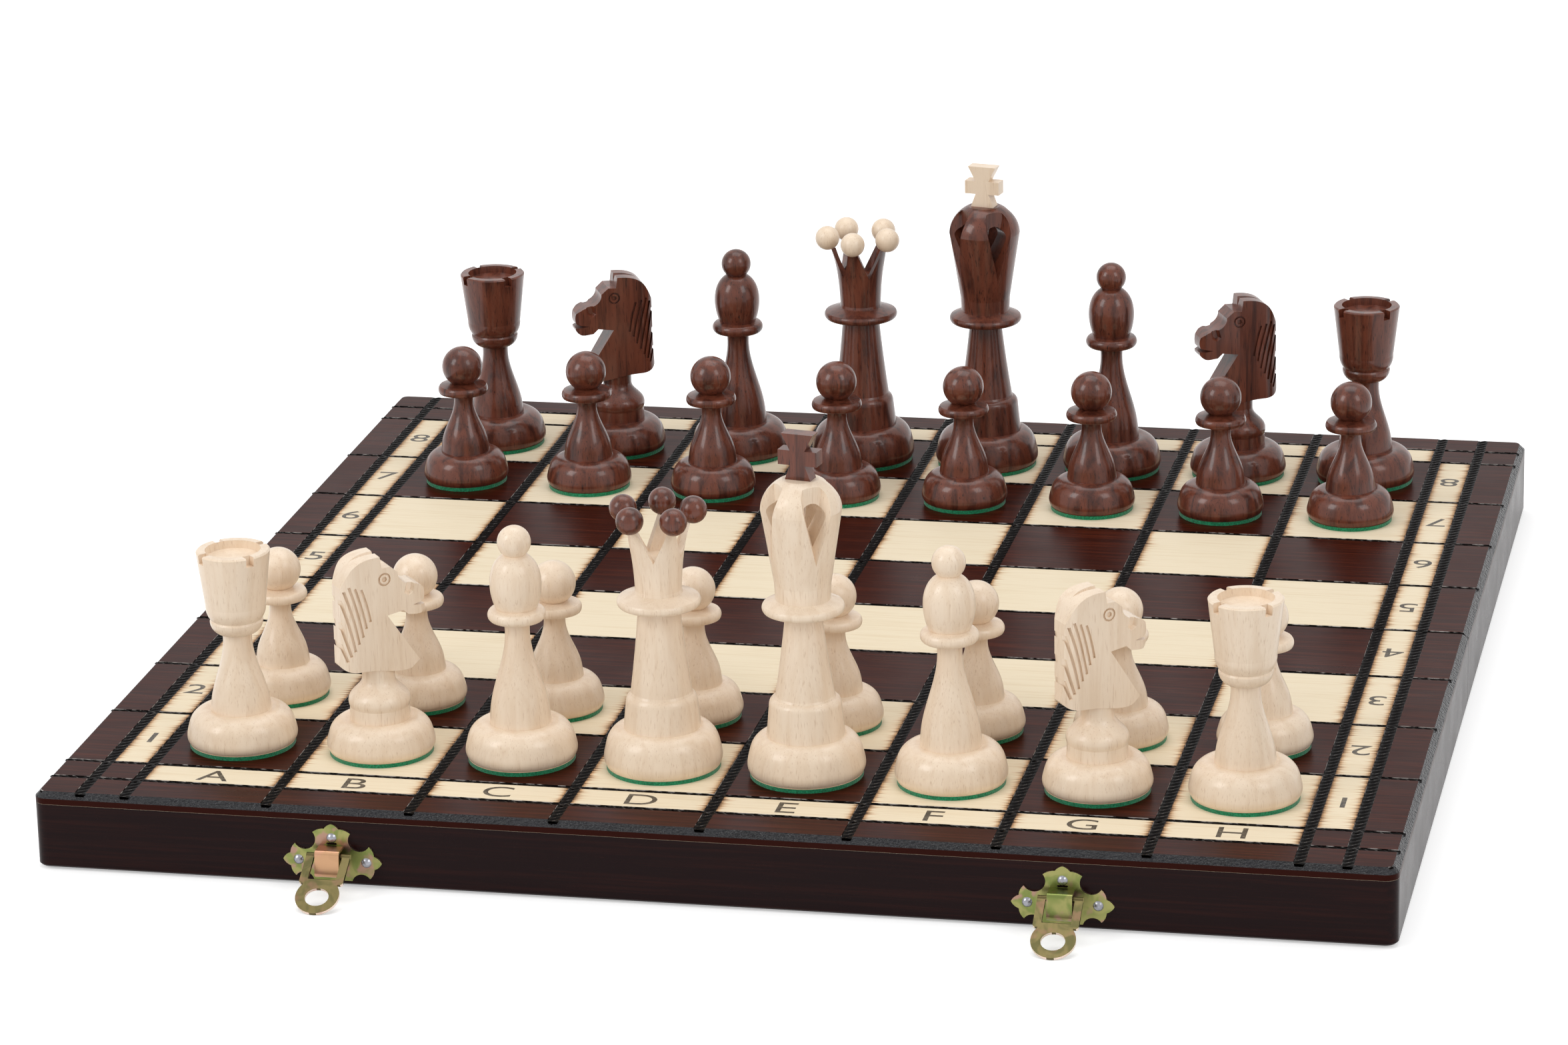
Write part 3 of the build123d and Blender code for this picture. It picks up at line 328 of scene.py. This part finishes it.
def yellow_zinc(name, olive, straw, blush, film, strap=0.0):
    """Zinc plate with its yellow, green and pink passivation film."""
    paint = Paint(name)
    x, y, z = paint.x, paint.y, paint.z
    drift = paint.noise(paint.vector(x / 6.5, y / 6.5, z / 6.5), detail=2, distortion=1.2)
    patch = paint.noise(paint.vector(x / 4.2 + 9, y / 4.2, z / 4.2), detail=2)
    tone = paint.mix(paint.smooth(drift, 0.40, 0.62), olive, straw)
    tone = paint.mix(paint.smooth(patch, 0.50, 0.64) * film, tone, blush)
    proud = paint.smooth(y, STRAP_Y + 0.4, STRAP_Y) * strap
    tone = paint.mix(proud * x.below(0), tone, srgb(204, 152, 122))
    scratch = paint.noise(paint.vector(x / 0.3, y / 2.5, z / 2.5), detail=3)
    paint.bump(scratch, 0.12, 0.03 * MM)
    return paint.finish(tone, 0.24 + scratch * 0.16, Metallic=1.0)


def bright_metal(name, tone, worn, roughness):
    paint = Paint(name)
    x, y, z = paint.x, paint.y, paint.z
    mottle = paint.noise(paint.vector(x / 0.9, y / 0.9, z / 0.9), detail=3)
    paint.bump(mottle, 0.5, 0.12 * MM)
    return paint.finish(paint.mix(mottle, tone, worn), roughness + mottle * 0.12, Metallic=1.0)


def ink():
    """Thin dark stamp of the letters and digits, uneven where it took less."""
    paint = Paint("stamped_ink")
    worn = paint.noise(paint.vector(paint.x / 0.8, paint.y / 0.5, paint.z), detail=3)
    tone = paint.mix(paint.smooth(worn, 0.35, 0.75), srgb(50, 43, 36), srgb(112, 102, 86))
    return paint.finish(tone, 0.4, Specular_IOR_Level=0.35)


# ================================================================ dressing the CAD nodes
BOARD_WOOD = board_wood()
GROOVE_BURNT = burnt_groove()
BEVEL_BURNT = burnt_bevel()
WALL_X = wall_wood("wall_wood_along_fold", "x")
WALL_Y = wall_wood("wall_wood_across_fold", "y")
FELT = felt_cloth()
PLATE_ZINC = yellow_zinc("plate_zinc", srgb(118, 128, 72), srgb(148, 146, 92), srgb(172, 126, 122), 0.7, 0.75)
# painted highlight: pale zinc tones for the sheet's edges, standing in for the light that the edges catch
EDGE_HIGHLIGHT_ZINC = yellow_zinc("edge_highlight_zinc", srgb(214, 196, 176), srgb(228, 208, 196), srgb(206, 168, 160), 0.5)
LEVER_ZINC = yellow_zinc("lever_zinc", srgb(82, 78, 50), srgb(104, 94, 62), srgb(122, 92, 76), 0.5)
STEEL = bright_metal("nail_steel", srgb(184, 185, 192), srgb(112, 112, 120), 0.26)
BRASS = bright_metal("hinge_brass", srgb(206, 176, 104), srgb(158, 124, 66), 0.26)
MEN_WOOD = {
    "light": man_wood(
        "light_men_wood", srgb(243, 223, 199), srgb(226, 199, 169), srgb(204, 172, 140), 0.5, 0.34, 0.3
    ),
    "dark": man_wood(
        "dark_men_wood", srgb(112, 60, 43), srgb(56, 25, 18), srgb(32, 13, 10), 0.9, 0.26, 0.3
    ),
}
OTHER = {"light": "dark", "dark": "light"}
FELT_TOP = TOP + 1.1 * MM
CROSS_FOOT = TOP + 80.2 * MM
BALL_R = 3.6 * MM
BALL_RING_R = 9.6 * MM
BALL_Z = TOP + 69.3 * MM
BALLS = 5
FIRST_BALL = {"light": 22.0, "dark": 53.0}


def coat(obj, *materials):
    obj.data.materials.clear()
    for material in materials:
        obj.data.materials.append(material)


def face_centres(mesh):
    centres = np.empty(len(mesh.polygons) * 3)
    mesh.polygons.foreach_get("center", centres)
    return centres.reshape(-1, 3)


def dress_man(name):
    """Wood, felt and, on king and queen, the cross or balls turned from the other wood."""
    colour, kind = name.split("_")[:2]
    man = NODES[name]
    coat(man, MEN_WOOD[colour], FELT, MEN_WOOD[OTHER[colour]])
    centres = face_centres(man.data)
    pick = np.where(centres[:, 2] < FELT_TOP - 0.01 * MM, 1, 0)
    if kind == "king":
        pick[centres[:, 2] > CROSS_FOOT + 0.01 * MM] = 2
    if kind == "queen":
        low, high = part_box(name)
        for i in range(BALLS):
            way = math.radians(FIRST_BALL[colour] + 360 / BALLS * i)
            ball = np.array([
                (low.x + high.x) / 2 + BALL_RING_R * math.cos(way),
                (low.y + high.y) / 2 + BALL_RING_R * math.sin(way),
                BALL_Z,
            ])
            pick[np.linalg.norm(centres - ball, axis=1) < BALL_R + 0.02 * MM] = 2
    man.data.polygons.foreach_set("material_index", pick.astype(np.int32))
    man.data.update()


def dress_plate(plate, film):
    """Zinc film on the faces, with a painted highlight: pale colour on the small faces of the sheet's edges.
    """
    coat(plate, film, EDGE_HIGHLIGHT_ZINC)
    areas = np.empty(len(plate.data.polygons))
    plate.data.polygons.foreach_get("area", areas)
    ways = np.empty(len(plate.data.polygons) * 3)
    plate.data.polygons.foreach_get("normal", ways)
    across = abs(ways.reshape(-1, 3)[:, 0]) + abs(ways.reshape(-1, 3)[:, 2]) * 0.2
    # painted highlight: the small edge faces get the pale edge material
    pick = np.where((across > 0.25) & (areas < CUT_FACE), 1, 0)
    plate.data.polygons.foreach_set("material_index", pick.astype(np.int32))
    plate.data.update()


def dress_panel(panel):
    """Stained and bare wood, black in the grooves and on the bevel round the edge."""
    coat(panel, BOARD_WOOD, GROOVE_BURNT, BEVEL_BURNT)
    centres = face_centres(panel.data)
    sunk = (centres[:, 2] < TOP - 0.02 * MM) & (centres[:, 2] > TOP - BEVEL)
    reach = np.maximum(abs(centres[:, 0]), abs(centres[:, 1]))
    pick = np.where(sunk, 1, 0)
    pick[sunk & (reach > HALF - BEVEL)] = 2
    panel.data.polygons.foreach_set("material_index", pick.astype(np.int32))
    panel.data.update()


for name, node in NODES.items():
    if name.startswith(("light_", "dark_")):
        dress_man(name)
    elif name.endswith("board_panel"):
        dress_panel(node)
    elif name.endswith(("outer_wall", "hinge_wall")):
        coat(node, WALL_X)
    elif name.endswith(("left_wall", "right_wall")):
        coat(node, WALL_Y)
    elif name in ("latch_nails", "catch_nails"):
        coat(node, STEEL)
    elif "leaf" in name or "hinge_pin" in name:
        coat(node, BRASS)
    else:
        dress_plate(node, LEVER_ZINC if name.endswith("lever") else PLATE_ZINC)


# ================================================================ stamped grooves
PITCH = 2.4 * MM  # distance between two strands
STEP = PITCH / 8
LINES = [SQUARE * (i - SQUARES / 2) for i in range(SQUARES + 1)]
FILE_LINES = [-OUTER_LINE, *LINES, OUTER_LINE]
RANK_LINES = [y for y in LINES if y > 0] + [OUTER_LINE]
EDGE_STOP = 0.9 * MM  # a groove's relief ends this far from the board's edge
FOLD_STOP = 0.3 * MM


def rope_strip(start, end, half_width, slant, columns):
    """Relief of a twisted cord pressed into a groove from start to end: points and quads."""
    start, end = Vector(start), Vector(end)
    run = end - start
    along = run.normalized()
    across = Vector((-along.y, along.x))
    rows = int(run.length / STEP) + 1
    s = np.linspace(0, run.length, rows)[:, None]
    t = np.linspace(-1, 1, columns)[None, :]
    strand = np.abs(np.cos(np.pi * (s / PITCH + slant * t))) ** 0.8
    depth = 0.60 - 0.38 * t**2 - 0.44 * (1 - t**2) * strand
    x = start.x + along.x * s + across.x * half_width * t
    y = start.y + along.y * s + across.y * half_width * t
    points = np.stack([x, y, TOP - depth * MM], axis=-1).reshape(-1, 3)
    first = (np.arange(rows - 1)[:, None] * columns + np.arange(columns - 1)[None, :]).reshape(-1)
    quads = np.stack([first, first + columns, first + columns + 1, first + 1], axis=-1)
    return points, quads


def mesh_object(name, points, faces, material, body):
    mesh = bpy.data.meshes.new(name)
    mesh.from_pydata(points, [], faces)
    mesh.update()
    obj = bpy.data.objects.new(name, mesh)
    bpy.context.scene.collection.objects.link(obj)
    obj.data.materials.append(material)
    obj.data.shade_smooth()
    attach(obj, body)
    return obj


def groove_relief(half, way):
    strips = []
    for x in FILE_LINES:
        strips.append(rope_strip((x, way * FOLD_STOP), (x, way * (HALF - EDGE_STOP)), 1.42 * MM, 0.5, 9))
    for y in RANK_LINES:
        strips.append(rope_strip((EDGE_STOP - HALF, way * y), (HALF - EDGE_STOP, way * y), 0.80 * MM, 0.4, 7))
    points, quads, count = [], [], 0
    for strip_points, strip_quads in strips:
        points.append(strip_points)
        quads.append(strip_quads + count)
        count += len(strip_points)
    mesh_object(
        f"{half}_groove_relief",
        np.concatenate(points).tolist(),
        np.concatenate(quads).tolist(),
        GROOVE_BURNT,
        f"{half}_half",
    )


groove_relief("far", 1)
groove_relief("near", -1)

# ================================================================ letters and digits
LETTER_HEIGHT = 7.0 * MM
LETTER_STRETCH = 1.25  # the stamped letters are wide
INK_DEPTH = 0.02 * MM
INK = ink()
FILES = "ABCDEFGH"


def glyph(character):
    """Outline of one character, centred, one unit high, with its faces."""
    curve = bpy.data.curves.new(f"glyph_{character}", "FONT")
    curve.body = character
    curve.resolution_u = 6
    curve.extrude = 0.01
    text = bpy.data.objects.new(curve.name, curve)
    bpy.context.scene.collection.objects.link(text)
    bpy.context.view_layer.update()
    mesh = bpy.data.meshes.new_from_object(text.evaluated_get(bpy.context.evaluated_depsgraph_get()))
    points = np.array([v.co for v in mesh.vertices])
    faces = [list(f.vertices) for f in mesh.polygons]
    bpy.data.objects.remove(text)
    bpy.data.meshes.remove(mesh)
    low, high = points.min(0), points.max(0)
    points = (points - (low + high) / 2) / (high[1] - low[1])
    points[:, 2] = np.sign(points[:, 2])
    return points, faces


def labels(half, way):
    """Letters beside the outer rank and digits beside both outer files; they face outwards."""
    points, faces = [], []
    spots = []
    strip_mid = FIELD + STRIP / 2
    for i, letter in enumerate(FILES):
        spots.append((letter, LINES[i] + SQUARE / 2, way * strip_mid, way < 0))
    for rank in range(SQUARES // 2):
        number = rank + 1 if way < 0 else rank + 1 + SQUARES // 2
        y = LINES[number - 1] + SQUARE / 2
        spots.append((str(number), -strip_mid, y, True))
        spots.append((str(number), strip_mid, y, False))
    for character, x, y, upright in spots:
        shape, loops = glyph(character)
        turn = 1 if upright else -1
        count = len(points)
        for px, py, pz in shape:
            points.append((
                x + turn * px * LETTER_HEIGHT * LETTER_STRETCH,
                y + turn * py * LETTER_HEIGHT,
                TOP + INK_DEPTH * (1 + 0.9 * pz),
            ))
        faces.extend([[v + count for v in loop] for loop in loops])
    obj = mesh_object(f"{half}_labels", points, faces, INK, f"{half}_half")
    obj.data.shade_flat()


labels("far", 1)
labels("near", -1)

# ================================================================ floor, light and camera
CAMERA_PLACE = Vector((0.3147, -1.4963, 0.5503))
CAMERA_VIEW = Vector((-0.2042, 0.9272, -0.3140)).normalized()
CAMERA_UP = Vector((-0.0447, 0.3116, 0.9491))
CAMERA_LENS = 132.4
FLOOR_SIZE = 12.0


def light_path_share(tree):
    """1 for camera, glossy and transmission rays, 0 for the rays that light the object."""
    path = tree.nodes.new("ShaderNodeLightPath")
    either = tree.nodes.new("ShaderNodeMath")
    either.operation = "MAXIMUM"
    tree.links.new(path.outputs["Is Camera Ray"], either.inputs[0])
    tree.links.new(path.outputs["Is Glossy Ray"], either.inputs[1])
    both = tree.nodes.new("ShaderNodeMath")
    both.operation = "MAXIMUM"
    tree.links.new(either.outputs[0], both.inputs[0])
    tree.links.new(path.outputs["Is Transmission Ray"], both.inputs[1])
    return both.outputs[0]


def white_world(strength):
    world = bpy.data.worlds.new("studio")
    bpy.context.scene.world = world
    world.use_nodes = True
    tree = world.node_tree
    background = tree.nodes["Background"]
    background.inputs["Color"].default_value = (1, 1, 1, 1)
    blend = tree.nodes.new("ShaderNodeMapRange")
    tree.links.new(light_path_share(tree), blend.inputs["Value"])
    blend.inputs["To Min"].default_value = strength
    blend.inputs["To Max"].default_value = 1.0
    tree.links.new(blend.outputs[0], background.inputs["Strength"])


def pale_floor(glow):
    """White floor that stays white to the camera but keeps the object's shadow."""
    half = FLOOR_SIZE / 2
    corners = [(-half, -half, TABLE), (half, -half, TABLE), (half, half, TABLE), (-half, half, TABLE)]
    mesh = bpy.data.meshes.new("floor")
    mesh.from_pydata(corners, [], [(0, 1, 2, 3)])
    floor = bpy.data.objects.new("floor", mesh)
    bpy.context.scene.collection.objects.link(floor)
    material = bpy.data.materials.new("floor_white")
    material.use_nodes = True
    tree = material.node_tree
    shader = tree.nodes["Principled BSDF"]
    shader.inputs["Base Color"].default_value = (0.86, 0.86, 0.86, 1)
    shader.inputs["Roughness"].default_value = 0.9
    shader.inputs["Emission Color"].default_value = (1, 1, 1, 1)
    strength = tree.nodes.new("ShaderNodeMath")
    strength.operation = "MULTIPLY"
    tree.links.new(light_path_share(tree), strength.inputs[0])
    strength.inputs[1].default_value = glow
    tree.links.new(strength.outputs[0], shader.inputs["Emission Strength"])
    mesh.materials.append(material)


def soft_lamp(name, place, aim, size, power):
    lamp = bpy.data.lights.new(name, "AREA")
    lamp.shape = "RECTANGLE"
    lamp.size, lamp.size_y = size
    lamp.energy = power
    obj = bpy.data.objects.new(name, lamp)
    obj.location = place
    obj.rotation_euler = (Vector(aim) - Vector(place)).to_track_quat("-Z", "Y").to_euler()
    bpy.context.scene.collection.objects.link(obj)


def photo_camera():
    camera = bpy.data.cameras.new("photo_camera")
    camera.sensor_fit = "HORIZONTAL"
    camera.sensor_width = 36
    camera.lens = CAMERA_LENS
    camera.clip_end = 50
    obj = bpy.data.objects.new("photo_camera", camera)
    bpy.context.scene.collection.objects.link(obj)
    right = CAMERA_VIEW.cross(CAMERA_UP).normalized()
    up = right.cross(CAMERA_VIEW)
    turn = Matrix((right, up, -CAMERA_VIEW)).transposed().to_4x4()
    obj.matrix_world = Matrix.Translation(CAMERA_PLACE) @ turn
    bpy.context.scene.camera = obj


white_world(0.50)
pale_floor(0.45)
soft_lamp("left_softbox", (-1.3, -1.1, 1.1), (0, 0, 0.03), (0.7, 1.0), 12)
soft_lamp("right_softbox", (1.4, -1.0, 1.2), (0, 0, 0.03), (0.7, 1.0), 8)
soft_lamp("top_softbox", (0.0, 0.3, 1.6), (0, 0, 0), (1.4, 1.0), 9)
photo_camera()
bpy.context.scene.view_settings.view_transform = "Standard"
